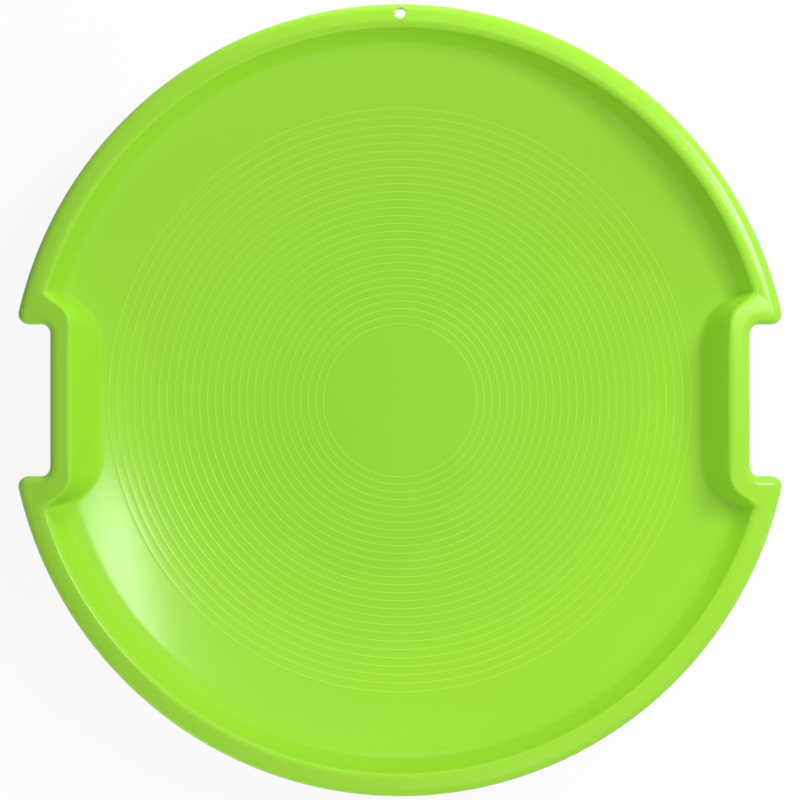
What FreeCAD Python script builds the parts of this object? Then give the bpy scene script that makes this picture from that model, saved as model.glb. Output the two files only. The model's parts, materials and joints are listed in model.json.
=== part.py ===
# A saucer sled: a round dish moulded in one piece, with a ringed floor, a flat rim
# turned down at its edge, two grip notches in the rim and a tow hole.
# Millimetres and degrees. +Z is up, the dish stands on z = 0 and its axis is the Z axis.
# The grips are on the X axis and the tow hole is on the +Y side.
import FreeCAD, Part
import math
import os

import Sketcher

NODE = "saucer_shell"
RING_COUNT = 28

# Driving dimensions: name, value, what it measures.
SIZES = [
    ("rim_diameter", 660, "across the round part of the rim"),
    ("overall_height", 88, "from the base to the top of the rim"),
    ("wall_thickness", 3, "of the dish, the rim and the lip"),
    ("rim_width", 18, "flat rim, from its outer edge to the top of the wall"),
    ("rim_edge_radius", 5.5, "rounding of the outer top edge of the rim"),
    ("lip_height", 12, "turned down edge, from its end to the top of the rim"),
    ("lip_end_radius", 1, "rounding of the lower end of the lip"),
    ("crest_radius", 3, "rounding where the rim turns down into the dish"),
    ("flat_radius", 68.5, "flat disc in the middle of the floor"),
    ("wall_angle", 70, "top of the round wall of the dish, from the horizontal"),
    ("wall_height", 20, "from where wall and floor would meet without a heel to the top of the rim"),
    ("heel_radius", 45, "large curve that carries the floor up into the round wall"),
    ("grip_depth", 36, "how far the straight edge of a grip lies inside the round edge of the rim"),
    ("grip_opening", 128, "length of a grip notch along the rim"),
    ("grip_inner_radius", 8.5, "rounding in the corners of a notch"),
    ("grip_tip_radius", 8.5, "rounding of the rim's corners beside a notch"),
    ("grip_wall_angle", 71, "wall of the dish below a grip, from the horizontal"),
    ("grip_wall_length", 130, "straight part of the wall below a grip"),
    ("grip_turn_radius", 15, "rounding at the top of that wall, where it turns outwards at its ends"),
    ("grip_flare_angle", 33, "end of that wall, from the line through both grips"),
    ("grip_blend_radius", 5, "rounding where a grip's wall meets the floor and the round wall"),
    ("ring_margin", 52.5, "plain floor and heel from the outermost ring to where wall and floor would meet"),
    ("ring_section_radius", 1.5, "radius of the round section of a ring"),
    ("ring_height", 0.5, "how far a ring stands above the floor"),
    ("tow_hole_diameter", 9, "hole through the rim for a tow cord"),
    ("overcut", 4, "how far a cutting form reaches past the face it cuts"),
]

# Places that follow from the sizes, as expressions.
RIM_RADIUS = "(sizes.rim_diameter / 2)"
WALL_TOP = f"({RIM_RADIUS} - sizes.rim_width)"
WALL_FOOT = f"({WALL_TOP} - sizes.wall_height / tan(sizes.wall_angle))"
FLOOR_RUN = f"({WALL_FOOT} - sizes.flat_radius)"
FLOOR_RISE = "(sizes.overall_height - sizes.wall_height - sizes.wall_thickness)"
FLOOR_RADIUS = f"(({FLOOR_RUN}^2 + {FLOOR_RISE}^2) / (2 * {FLOOR_RISE}))"
RING_PITCH = f"(({FLOOR_RUN} - sizes.ring_margin) / {RING_COUNT - 1})"
GRIP_CHORD = f"({RIM_RADIUS} - sizes.grip_depth)"
GRIP_TURN = f"({GRIP_CHORD} - sizes.rim_width + sizes.grip_turn_radius)"
HALF_OPENING = "(sizes.grip_opening / 2)"
LIP_END = "(sizes.overall_height - sizes.lip_height)"
PAST_TOP = "(sizes.overall_height + sizes.overcut)"
INSIDE_RIM = "(sizes.overall_height - sizes.wall_thickness / 2)"

# A sketch's own numbers for the points of a curve, its origin and its upright axis.
START_INDEX, END_INDEX, CENTRE_INDEX = range(1, 4)
ORIGIN = (-1, 1)
UPRIGHT_AXIS_INDEX = -2

TOLERANCE = 1e-4

doc = FreeCAD.newDocument("saucer_sled")
sheet = doc.addObject("Spreadsheet::Sheet", "sizes")
for row, (alias, number, note) in enumerate(SIZES, start=1):
    sheet.set(f"A{row}", note)
    sheet.set(f"B{row}", str(number))
    sheet.setAlias(f"B{row}", alias)
doc.recompute()


def value(expression):
    """The number that an expression of the sheet's cells comes to."""
    return float(sheet.evalExpression(expression))


def new_body(label):
    """An empty body with that label."""
    body = doc.addObject("PartDesign::Body", label)
    body.Label = label
    return body


def origin_plane(body, role):
    """One of the body's own origin planes."""
    return next(item for item in body.Origin.OriginFeatures if item.Role == role)


def new_sketch(body, name, role, height=None):
    """A sketch on one of the body's origin planes, raised by an expression."""
    sketch = body.newObject("Sketcher::SketchObject", name)
    sketch.AttachmentSupport = (origin_plane(body, role), [""])
    sketch.MapMode = "FlatFace"
    if height:
        sketch.setExpression("AttachmentOffset.Base.z", height)
    return sketch


def new_feature(body, kind, name, **settings):
    """A feature of the body: texts are bound as expressions, other values are set."""
    feature = body.newObject("PartDesign::" + kind, name)
    for setting, given in settings.items():
        if isinstance(given, str):
            feature.setExpression(setting, given)
        else:
            setattr(feature, setting, given)
    doc.recompute()
    body.Tip = feature
    return feature


def new_boolean(kind, name, base, tool):
    """A boolean of two forms."""
    feature = doc.addObject("Part::" + kind, name)
    feature.Base = base
    feature.Tool = tool
    doc.recompute()
    return feature


def fix(sketch, kind, *elements):
    """Adds a constraint that has no size."""
    sketch.addConstraint(Sketcher.Constraint(kind, *elements))


def drive(sketch, name, expression, kind, *elements):
    """Adds a dimension to the sketch and binds it to an expression of the sheet."""
    number = value(expression)
    start = math.radians(number) if kind == "Angle" else number
    index = sketch.addConstraint(Sketcher.Constraint(kind, *elements, start))
    sketch.renameConstraint(index, name)
    sketch.setExpression("Constraints." + name, expression)


def line(sketch, start, end):
    """A straight line in the sketch, as its index."""
    segment = Part.LineSegment(FreeCAD.Vector(*start, 0), FreeCAD.Vector(*end, 0))
    return sketch.addGeometry(segment, False)


def circle(sketch, centre, radius):
    """A circle in the sketch, as its index."""
    curve = Part.Circle(FreeCAD.Vector(*centre, 0), FreeCAD.Vector(0, 0, 1), radius)
    return sketch.addGeometry(curve, False)


def arc(sketch, centre, start, end):
    """A counter-clockwise arc about a centre between two points, as its index."""
    whole = Part.Circle(FreeCAD.Vector(*centre, 0), FreeCAD.Vector(0, 0, 1), math.dist(centre, start))
    first = math.atan2(start[1] - centre[1], start[0] - centre[0])
    last = math.atan2(end[1] - centre[1], end[0] - centre[0])
    return sketch.addGeometry(Part.ArcOfCircle(whole, first, last), False)


def edges_of(feature, wanted):
    """The feature with the names of those of its edges that a test accepts."""
    edges = enumerate(feature.Shape.Edges, start=1)
    return (feature, [f"Edge{number}" for number, edge in edges if wanted(edge)])


def upright(edge):
    """True for a straight edge along Z."""
    box = edge.BoundBox
    return box.XLength < TOLERANCE and box.YLength < TOLERANCE


def reach(edge):
    """How far an upright edge stands from the axis."""
    return math.hypot(edge.Vertexes[0].X, edge.Vertexes[0].Y)


def level(edge, height):
    """True for an edge that lies at that height."""
    return all(abs(edge.valueAt(where).z - height) < TOLERANCE
               for where in (edge.FirstParameter, edge.LastParameter,
                             (edge.FirstParameter + edge.LastParameter) / 2))


def turned_about_axis(face):
    """True for a face that was turned about the Z axis."""
    surface = face.Surface
    if isinstance(surface, Part.SurfaceOfRevolution):
        return True
    if isinstance(surface, Part.Plane):
        return abs(abs(surface.Axis.z) - 1) < TOLERANCE
    if isinstance(surface, (Part.Cone, Part.Toroid)):
        return math.hypot(surface.Center.x, surface.Center.y) < TOLERANCE
    return False


def rim_form(label, inset, bottom, height, edge_radius):
    """The outline of the rim as a block, with its notches and rounded top edge.

    Every side lies inside the rim's outline by the inset, and the block stands from
    the bottom by the height. All sizes are expressions.
    """
    body = new_body(label)
    disc = new_sketch(body, label + "_disc", "XY_Plane", bottom)
    disc_edge = circle(disc, (0, 0), value(RIM_RADIUS))
    fix(disc, "Coincident", disc_edge, CENTRE_INDEX, *ORIGIN)
    drive(disc, "disc_radius", f"{RIM_RADIUS} - {inset}", "Radius", disc_edge)
    new_feature(body, "Pad", label + "_pad", Profile=disc, Length=height)

    notch = new_sketch(body, label + "_notch", "XY_Plane", bottom)
    near = value(f"{GRIP_CHORD} - {inset}")
    far = value(f"{RIM_RADIUS} + sizes.overcut")
    half = value(f"{HALF_OPENING} + {inset}")
    corners = [(near, -half), (far, -half), (far, half), (near, half)]
    sides = [line(notch, corners[k], corners[(k + 1) % 4]) for k in range(4)]
    for k in range(4):
        fix(notch, "Coincident", sides[k], END_INDEX, sides[(k + 1) % 4], START_INDEX)
        fix(notch, "Vertical" if k % 2 else "Horizontal", sides[k])
    drive(notch, "near", f"{GRIP_CHORD} - {inset}", "DistanceX", *ORIGIN, sides[0], START_INDEX)
    drive(notch, "far", f"{RIM_RADIUS} + sizes.overcut", "DistanceX", *ORIGIN, sides[0], END_INDEX)
    drive(notch, "upper", f"{HALF_OPENING} + {inset}", "DistanceY", *ORIGIN, sides[2], START_INDEX)
    drive(notch, "lower", f"{HALF_OPENING} + {inset}", "DistanceY", sides[0], START_INDEX, *ORIGIN)
    cut = new_feature(body, "Pocket", label + "_notch_cut", Profile=notch, Length=height, Reversed=True)
    both = new_feature(body, "Mirrored", label + "_notches", Originals=[cut],
                       MirrorPlane=(origin_plane(body, "YZ_Plane"), [""]))

    inner = edges_of(both, lambda edge: upright(edge) and abs(edge.BoundBox.XMax) - near < TOLERANCE)
    rounded = new_feature(body, "Fillet", label + "_inner_corners", Base=inner,
                          Radius=f"sizes.grip_inner_radius + {inset}")
    rim_reach = value(f"{RIM_RADIUS} - {inset}")
    tips = edges_of(rounded, lambda edge: upright(edge) and rim_reach - reach(edge) < TOLERANCE)
    rounded = new_feature(body, "Fillet", label + "_tips", Base=tips,
                          Radius=f"sizes.grip_tip_radius - {inset}")
    top_height = value(f"{bottom} + {height}")
    top = edges_of(rounded, lambda edge: level(edge, top_height))
    new_feature(body, "Fillet", label + "_top_edge", Base=top, Radius=edge_radius)
    return body


def dish_section(body, label, skin, top):
    """Half of the dish's section: flat disc, curved floor, sloping wall, axis.

    The skin is how far the form lies outside the dish's inner face. The wall runs on
    at its slope to the top. Returns the sketch and the wall's line.
    """
    floor_level = f"sizes.wall_thickness - {skin}"
    floor_radius = f"{FLOOR_RADIUS} + {skin}"
    wall_reach = (f"{WALL_TOP} + {skin} / sin(sizes.wall_angle)"
                  f" + ({top} - sizes.overall_height) / tan(sizes.wall_angle)")
    flat_end = (value("sizes.flat_radius"), value(floor_level))
    floor_centre = (flat_end[0], flat_end[1] + value(floor_radius))
    wall_foot = (value(f"{WALL_FOOT} + {skin} * sin(sizes.wall_angle)"),
                 value(f"sizes.wall_thickness + {FLOOR_RISE} - {skin} * cos(sizes.wall_angle)"))
    wall_top = (value(wall_reach), value(top))

    sketch = new_sketch(body, label + "_section", "XZ_Plane")
    flat = line(sketch, (0, flat_end[1]), flat_end)
    floor = arc(sketch, floor_centre, flat_end, wall_foot)
    wall = line(sketch, wall_foot, wall_top)
    cover = line(sketch, wall_top, (0, wall_top[1]))
    axis = line(sketch, (0, wall_top[1]), (0, flat_end[1]))
    fix(sketch, "Tangent", flat, END_INDEX, floor, START_INDEX)
    for first, second in ((floor, wall), (wall, cover), (cover, axis), (axis, flat)):
        fix(sketch, "Coincident", first, END_INDEX, second, START_INDEX)
    fix(sketch, "Horizontal", flat)
    fix(sketch, "Horizontal", cover)
    fix(sketch, "PointOnObject", axis, START_INDEX, UPRIGHT_AXIS_INDEX)
    fix(sketch, "PointOnObject", axis, END_INDEX, UPRIGHT_AXIS_INDEX)
    drive(sketch, "floor_level", floor_level, "DistanceY", *ORIGIN, flat, START_INDEX)
    drive(sketch, "flat_reach", "sizes.flat_radius", "DistanceX", *ORIGIN, flat, END_INDEX)
    drive(sketch, "floor_curve", floor_radius, "Radius", floor)
    drive(sketch, "top_level", top, "DistanceY", *ORIGIN, cover, START_INDEX)
    drive(sketch, "wall_slope", "sizes.wall_angle", "Angle", wall)
    drive(sketch, "wall_reach", wall_reach, "DistanceX", *ORIGIN, wall, END_INDEX)
    return sketch, wall


def grip_outline(body, label, skin, top):
    """The outline of one grip's wall at the top of a dish form.

    A straight wall lies inside the notch by the rim's width at the height of the rim,
    and turns outwards at both ends. It lies further out above that height and outside
    the dish's inner face.
    """
    inset = (f"(sizes.rim_width - {skin} / sin(sizes.grip_wall_angle)"
             f" - ({top} - sizes.overall_height) / tan(sizes.grip_wall_angle))")
    turn = f"({GRIP_TURN} - {GRIP_CHORD} + {inset})"
    turn_level = "(sizes.grip_wall_length / 2)"
    beyond = f"({RIM_RADIUS} + sizes.overall_height)"
    beyond_level = (f"{turn_level} + {turn} / cos(sizes.grip_flare_angle)"
                    f" + ({beyond} - {GRIP_TURN}) * tan(sizes.grip_flare_angle)")
    near = value(f"{GRIP_CHORD} - {inset}")
    turn_x, turn_y, radius = value(GRIP_TURN), value(turn_level), value(turn)
    flare = math.radians(value("sizes.grip_flare_angle"))
    bend_x, bend_y = turn_x - radius * math.sin(flare), turn_y + radius * math.cos(flare)
    far_x, far_y = value(beyond), value(beyond_level)

    sketch = new_sketch(body, label + "_grip", "XY_Plane", top)
    chord = line(sketch, (near, turn_y), (near, -turn_y))
    lower_turn = arc(sketch, (turn_x, -turn_y), (near, -turn_y), (bend_x, -bend_y))
    lower_flare = line(sketch, (bend_x, -bend_y), (far_x, -far_y))
    far_side = line(sketch, (far_x, -far_y), (far_x, far_y))
    upper_flare = line(sketch, (far_x, far_y), (bend_x, bend_y))
    upper_turn = arc(sketch, (turn_x, turn_y), (bend_x, bend_y), (near, turn_y))
    for first, second in ((chord, lower_turn), (lower_turn, lower_flare),
                          (upper_flare, upper_turn), (upper_turn, chord)):
        fix(sketch, "Tangent", first, END_INDEX, second, START_INDEX)
    fix(sketch, "Coincident", lower_flare, END_INDEX, far_side, START_INDEX)
    fix(sketch, "Coincident", far_side, END_INDEX, upper_flare, START_INDEX)
    for side in (chord, far_side):
        fix(sketch, "Vertical", side)
    fix(sketch, "Equal", lower_turn, upper_turn)
    drive(sketch, "near", f"{GRIP_CHORD} - {inset}", "DistanceX", *ORIGIN, chord, START_INDEX)
    drive(sketch, "far", beyond, "DistanceX", *ORIGIN, far_side, START_INDEX)
    drive(sketch, "turn", turn, "Radius", upper_turn)
    drive(sketch, "upper_turn", turn_level, "DistanceY", *ORIGIN, upper_turn, CENTRE_INDEX)
    drive(sketch, "lower_turn", turn_level, "DistanceY", lower_turn, CENTRE_INDEX, *ORIGIN)
    drive(sketch, "upper_end", beyond_level, "DistanceY", *ORIGIN, far_side, END_INDEX)
    drive(sketch, "lower_end", beyond_level, "DistanceY", far_side, START_INDEX, *ORIGIN)
    return sketch


def dish_form(label, skin, top):
    """The dish as a solid block that lies outside the dish's inner face by the skin.

    Its section is turned about the axis, the foot of the wall is rounded, and both
    grips' walls are cut from the top down, leaning inwards, and blended in.
    """
    body = new_body(label)
    section, wall = dish_section(body, label, skin, top)
    turned = new_feature(body, "Revolution", label + "_turned", Profile=section,
                         ReferenceAxis=(section, ["V_Axis"]))
    foot_level = section.Geometry[wall].StartPoint.y
    foot = edges_of(turned, lambda edge: level(edge, foot_level))
    new_feature(body, "Fillet", label + "_heel", Base=foot, Radius=f"sizes.heel_radius + {skin}")

    outline = grip_outline(body, label, skin, top)
    cut = new_feature(body, "Pocket", label + "_grip_cut", Profile=outline, Length=top,
                      TaperAngle="90 - sizes.grip_wall_angle")
    both = new_feature(body, "Mirrored", label + "_grips", Originals=[cut],
                       MirrorPlane=(origin_plane(body, "YZ_Plane"), [""]))
    top_height = value(top)

    def meets_grip(edge):
        faces = both.Shape.ancestorsOfType(edge, Part.Face)
        turned_faces = [turned_about_axis(face) for face in faces]
        return turned_faces.count(True) == turned_faces.count(False) and not level(edge, top_height)

    new_feature(body, "Fillet", label + "_blend", Base=edges_of(both, meets_grip),
                Radius=f"sizes.grip_blend_radius + {skin}")
    return body


def add_rings(body):
    """Raised rings on the dish's floor, the first one round the flat disc.

    Each ring has a round section, sunk into the floor so that only its top stands up.
    """
    sketch = new_sketch(body, "ring_sections", "XZ_Plane")
    sink = "(sizes.ring_section_radius - sizes.ring_height)"
    rings = []
    for k in range(RING_COUNT):
        ring_reach = f"sizes.flat_radius + {k} * {RING_PITCH}"
        ring_level = (f"sizes.wall_thickness + {FLOOR_RADIUS}"
                      f" - sqrt(({FLOOR_RADIUS} + {sink})^2 - ({k} * {RING_PITCH})^2)")
        ring = circle(sketch, (value(ring_reach), value(ring_level)), value("sizes.ring_section_radius"))
        drive(sketch, f"ring_{k}_reach", ring_reach, "DistanceX", *ORIGIN, ring, CENTRE_INDEX)
        drive(sketch, f"ring_{k}_level", ring_level, "DistanceY", *ORIGIN, ring, CENTRE_INDEX)
        rings.append(ring)
    drive(sketch, "ring_section", "sizes.ring_section_radius", "Radius", rings[0])
    for ring in rings[1:]:
        fix(sketch, "Equal", rings[0], ring)
    new_feature(body, "Revolution", "rings", Profile=sketch, ReferenceAxis=(sketch, ["V_Axis"]))


def finish_shell(base):
    """The moulded shell: rounds the crest and the lip's end, adds the rings, cuts the tow hole."""
    body = new_body(NODE)
    body.BaseFeature = base
    doc.recompute()
    shell = body.Tip
    rim_top = value("sizes.overall_height")
    flat_faces = [face for face in shell.Shape.Faces if isinstance(face.Surface, Part.Plane)]
    top_faces = [face for face in flat_faces if abs(face.CenterOfMass.z - rim_top) < TOLERANCE]
    top_face = max(top_faces, key=lambda face: face.Area)
    crest_wire = min(top_face.Wires, key=lambda wire: wire.BoundBox.DiagonalLength)
    crest = edges_of(shell, lambda edge: any(edge.isSame(other) for other in crest_wire.Edges))
    rounded = new_feature(body, "Fillet", "crest", Base=crest, Radius="sizes.crest_radius")
    lip_end = value(LIP_END)
    ends = edges_of(rounded, lambda edge: level(edge, lip_end))
    new_feature(body, "Fillet", "lip_end", Base=ends, Radius="sizes.lip_end_radius")
    add_rings(body)

    sketch = new_sketch(body, "tow_hole_outline", "XY_Plane", "sizes.overall_height")
    place = f"{RIM_RADIUS} - sizes.rim_width / 2"
    hole = circle(sketch, (0, value(place)), value("sizes.tow_hole_diameter / 2"))
    fix(sketch, "PointOnObject", hole, CENTRE_INDEX, UPRIGHT_AXIS_INDEX)
    drive(sketch, "place", place, "DistanceY", *ORIGIN, hole, CENTRE_INDEX)
    drive(sketch, "hole_radius", "sizes.tow_hole_diameter / 2", "Radius", hole)
    before = body.Shape.Volume
    new_feature(body, "Pocket", "tow_hole", Profile=sketch, Length="sizes.wall_thickness + sizes.overcut")
    if body.Shape.Volume >= before:
        raise RuntimeError("the tow hole cuts nothing")
    return body


rim_outside = rim_form("rim_outside", "0", LIP_END, "sizes.lip_height", "sizes.rim_edge_radius")
rim_inside = rim_form("rim_inside", "sizes.wall_thickness", f"{LIP_END} - sizes.overcut",
                      "(sizes.lip_height - sizes.wall_thickness + sizes.overcut)",
                      "sizes.rim_edge_radius - sizes.wall_thickness")
dish_outside = dish_form("dish_outside", "sizes.wall_thickness", INSIDE_RIM)
dish_inside = dish_form("dish_inside", "0", PAST_TOP)

rim = new_boolean("Cut", "rim", rim_outside, rim_inside)
rim_and_dish = new_boolean("Fuse", "rim_and_dish", rim, dish_outside)
hollowed = new_boolean("Cut", "hollowed", rim_and_dish, dish_inside)
saucer_shell = finish_shell(hollowed)
saucer_shell.Placement = FreeCAD.Placement()
doc.recompute()

for item in doc.Objects:
    if "Invalid" in item.State or "Error" in item.State:
        raise RuntimeError(f"{item.Label} failed: {item.State}")
if saucer_shell.Shape.isNull() or not saucer_shell.Shape.isValid():
    raise RuntimeError(f"{NODE} has no valid shape")
if len(saucer_shell.Shape.Solids) != 1:
    raise RuntimeError(f"{NODE} is not one solid")

os.makedirs("parts", exist_ok=True)
saucer_shell.Shape.exportStep(f"parts/{saucer_shell.Label}.step")
print(f"{NODE}: {saucer_shell.Shape.Volume / 1000:.0f} cm3")
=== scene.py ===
"""Saucer sled: one lime plastic moulding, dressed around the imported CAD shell."""

import json
import logging
from collections.abc import Callable, Sequence
from dataclasses import dataclass, field
from enum import Enum
from math import cos, pi, radians, sin, sqrt, tan

import bpy
import numpy as np
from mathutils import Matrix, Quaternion, Vector


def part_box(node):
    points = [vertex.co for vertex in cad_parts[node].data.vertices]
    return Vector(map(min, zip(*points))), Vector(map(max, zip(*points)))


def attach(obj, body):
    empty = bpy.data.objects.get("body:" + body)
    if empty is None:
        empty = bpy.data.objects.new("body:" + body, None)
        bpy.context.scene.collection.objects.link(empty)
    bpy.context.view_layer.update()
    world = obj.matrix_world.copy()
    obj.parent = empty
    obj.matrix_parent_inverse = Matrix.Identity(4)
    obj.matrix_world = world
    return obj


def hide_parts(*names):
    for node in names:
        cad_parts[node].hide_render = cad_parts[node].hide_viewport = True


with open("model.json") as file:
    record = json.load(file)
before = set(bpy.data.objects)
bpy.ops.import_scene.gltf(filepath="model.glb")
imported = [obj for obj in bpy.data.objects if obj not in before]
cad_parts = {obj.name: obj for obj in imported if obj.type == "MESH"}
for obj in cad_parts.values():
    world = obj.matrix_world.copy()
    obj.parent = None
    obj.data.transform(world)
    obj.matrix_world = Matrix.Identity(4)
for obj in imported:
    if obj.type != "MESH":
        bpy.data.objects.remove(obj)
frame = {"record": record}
LOG = logging.getLogger("saucer_sled")
WEAR_AND_HIGHLIGHT = "wear_and_highlight"
TINY = 1e-9
Colour = tuple[float, float, float]


class Face(Enum):
    """The two faces of the moulded skin."""

    UPPER = "upper"
    UNDER = "under"


def soft_min(a: np.ndarray, b: np.ndarray, width: np.ndarray | float) -> np.ndarray:
    """Lower of two heights, with a parabola of the given height difference across the join.

    Args:
        a: First height.
        b: Second height.
        width: Difference of heights within which the join is rounded.

    Returns:
        The blended height, never above either input.
    """
    overlap = np.maximum(width - np.abs(a - b), 0.0)
    return np.minimum(a, b) - overlap**2 / (4.0 * width)


def soft_max(a: np.ndarray, b: np.ndarray, width: np.ndarray | float) -> np.ndarray:
    """Higher of two heights, rounded across the join as in soft_min."""
    return -soft_min(-a, -b, width)


def eased(share: np.ndarray) -> np.ndarray:
    """Smooth step from 0 to 1: share squared times (3 minus twice the share)."""
    share = np.clip(share, 0.0, 1.0)
    return share**2 * (3.0 - 2.0 * share)


def between(start: np.ndarray, end: np.ndarray, shares: Sequence[float]) -> np.ndarray:
    """Curves at the given shares of the way from one plan curve to another.

    Args:
        start: Plan points of the first curve, one row per column of the grid.
        end: Plan points of the second curve.
        shares: Share of the way, one for each new curve.

    Returns:
        Plan points, one layer per share.
    """
    return start[None] + np.array(shares)[:, None, None] * (end - start)[None]


def stepped(start: np.ndarray, end: np.ndarray, steps: Sequence[float]) -> np.ndarray:
    """Curves at the given distances from one plan curve towards another.

    Where the curves lie close together the distances shrink, to half of the way at most.

    Args:
        start: Plan points of the curve to step from.
        end: Plan points of the curve to step towards.
        steps: Distance from the first curve, one for each new curve.

    Returns:
        Plan points, one layer per distance.
    """
    gap = np.linalg.norm(end - start, axis=1, keepdims=True)
    way = (end - start) / gap * np.minimum(1.0, 0.5 * gap / max(steps))
    return start[None] + np.array(steps)[:, None, None] * way[None]


def ramp(weights: np.ndarray) -> np.ndarray:
    """Shares from 0 up to but not including 1, spaced in proportion to the weights."""
    total = np.cumsum(weights)
    return np.concatenate([[0.0], total[:-1]]) / total[-1]


def ray(centre: tuple[float, float], angle: np.ndarray, radius: np.ndarray | float) -> np.ndarray:
    """Plan points on an arc: centre plus radius times (cosine, sine) of the angle."""
    return np.stack([centre[0] + radius * np.cos(angle), centre[1] + radius * np.sin(angle)], axis=1)


@dataclass(frozen=True)
class GripNotch:
    """Hand grip cut into the rim on the X axis, with the dish's wall beside it; mirrored."""

    chord: float = 0.294
    half_opening: float = 0.064
    tip_radius: float = 0.0085
    inner_radius: float = 0.0085
    wall_angle: float = radians(73.0)
    wall_half: float = 0.0622
    turn_radius: float = 0.021
    flare_angle: float = radians(33.0)

    @property
    def corner(self) -> tuple[float, float]:
        """Centre of the rounded inner corner of the notch."""
        return self.chord + self.inner_radius, self.half_opening - self.inner_radius

    @property
    def flare_way(self) -> np.ndarray:
        """Direction of the flared end of the wall, away from the axis."""
        return np.array([cos(self.flare_angle), sin(self.flare_angle)])

    @property
    def flare_normal(self) -> np.ndarray:
        """Direction from the flared end into the dish."""
        return np.array([-sin(self.flare_angle), cos(self.flare_angle)])


@dataclass(frozen=True)
class DishForm:
    """Heights of the dish over the plan, for its upper face and its underside."""

    rim_radius: float
    overall_height: float
    grip: GripNotch = field(default_factory=GripNotch)
    skin: float = 0.003
    rim_width: float = 0.0191
    flat_radius: float = 0.0685
    floor_radius: float = 0.4617
    wall_angle: float = radians(70.0)
    heel_radius: float = 0.040
    crest_radius: float = 0.007
    under_crest_radius: float = 0.003
    grip_blend: float = 0.012
    corner_blend: float = 0.016
    end_spread: float = 0.9
    spread_from: float = 0.5
    spread_over: float = 0.75
    end_steepness: float = 2.6
    steep_from: float = 0.6
    steep_over: float = 0.85
    arc_share: float = 0.98
    draw_in: float = 0.0042
    draw_start: float = 0.225
    draw_end: float = 0.345

    @property
    def crest_circle(self) -> float:
        """Plan radius at which the flat rim turns down into the round wall."""
        return self.rim_radius - self.rim_width

    @property
    def turn_centre(self) -> np.ndarray:
        """Plan centre of the turn between the grip wall's straight part and its flared end."""
        return np.array([self.grip.chord - self.rim_width + self.grip.turn_radius, self.grip.wall_half])

    @property
    def floor_centre(self) -> np.ndarray:
        """Centre of the floor's arc in the section, as (radius, height)."""
        return np.array([self.flat_radius, self.skin + self.floor_radius])

    @property
    def heel_centre(self) -> np.ndarray:
        """Centre of the heel's arc in the section, as (radius, height).

        The arc touches the floor's arc from inside, so the centres are the difference of
        the radii apart, and it touches the wall's line, so the centre lies one heel radius
        from that line.

        Returns:
            The centre, where both conditions meet.
        """
        along = np.array([cos(self.wall_angle), sin(self.wall_angle)])
        aside = np.array([-sin(self.wall_angle), cos(self.wall_angle)])
        start = np.array([self.crest_circle, self.overall_height]) + self.heel_radius * aside
        offset = start - self.floor_centre
        half = float(offset @ along)
        rest = float(offset @ offset) - (self.floor_radius - self.heel_radius) ** 2
        return start + (-half - sqrt(half**2 - rest)) * along

    def round_height(self, radius: np.ndarray, offset: float) -> np.ndarray:
        """Height of the turned section: flat, floor arc, heel arc, then the wall's line.

        Args:
            radius: Plan distance from the axis.
            offset: Thickness by which the section is pushed outwards.

        Returns:
            Heights of the section; the wall runs on above the rim.
        """
        floor_x, floor_z = self.floor_centre
        heel_x, heel_z = self.heel_centre
        curve, heel = self.floor_radius + offset, self.heel_radius + offset
        way = (self.heel_centre - self.floor_centre) / (self.floor_radius - self.heel_radius)
        first = floor_x + curve * way[0]
        last = heel_x + heel * sin(self.wall_angle)
        run = np.clip(radius - floor_x, 0.0, self.arc_share * curve)
        floor = floor_z - np.sqrt(curve**2 - run**2)
        bend = heel_z - np.sqrt(np.maximum(heel**2 - (radius - heel_x) ** 2, 0.0))
        reach = radius - self.crest_circle - offset / sin(self.wall_angle)
        wall = self.overall_height + reach * tan(self.wall_angle)
        return np.select([radius < first, radius < last], [floor, bend], wall)

    def grip_clear(self, x: np.ndarray, y: np.ndarray) -> np.ndarray:
        """Plan distance into the dish from the top of the grip's wall.

        The wall's plan is a wedge with a rounded tip: straight beside the notch, flared at
        its end, and a distance less the turn's radius from the turn's centre between them.

        Args:
            x: Plan coordinates across the dish.
            y: Plan coordinates towards the tow hole.

        Returns:
            Distances, negative on the rim.
        """
        grip = self.grip
        across = np.abs(x) - self.turn_centre[0]
        along = np.abs(y) - self.turn_centre[1]
        flare = across * grip.flare_normal[0] + along * grip.flare_normal[1]
        ahead = across * grip.flare_way[0] + along * grip.flare_way[1]
        turned = np.select([along <= 0.0, ahead >= 0.0], [-across, flare], np.hypot(across, along))
        return turned - grip.turn_radius

    def grip_slope(self, y: np.ndarray) -> np.ndarray:
        """Fall of the grip's wall per plan distance, steeper towards its flared ends.

        Args:
            y: Plan coordinates towards the tow hole.

        Returns:
            Height lost per distance into the dish.
        """
        half = self.grip.wall_half
        ending = eased((np.abs(y) - self.steep_from * half) / (self.steep_over * half))
        return tan(self.grip.wall_angle) * (1.0 + (self.end_steepness - 1.0) * ending)

    def depth(self, x: np.ndarray, y: np.ndarray, offset: float) -> np.ndarray:
        """Depth below the rim of the higher of turned section and grip wall, blended.

        The blend is narrow along the straight wall. At the wall's ends it is wider, and grows
        with the depth, so the crest turns a soft corner and the foot fades into the floor.

        Args:
            x: Plan coordinates across the dish.
            y: Plan coordinates towards the tow hole.
            offset: Thickness by which the surfaces are pushed outwards.

        Returns:
            Depths, negative where the walls run on above the rim.
        """
        clear = self.grip_clear(x, y) + offset / sin(self.grip.wall_angle)
        grip_wall = self.overall_height - clear * self.grip_slope(y)
        turned = self.round_height(np.hypot(x, y), offset)
        half = self.grip.wall_half
        ending = eased((np.abs(y) - self.spread_from * half) / (self.spread_over * half))
        below = np.clip(self.overall_height - np.maximum(turned, grip_wall), 0.0, self.overall_height)
        width = self.grip_blend + (self.corner_blend + self.end_spread * below) * ending
        return self.overall_height - soft_max(turned, grip_wall, width)

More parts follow.
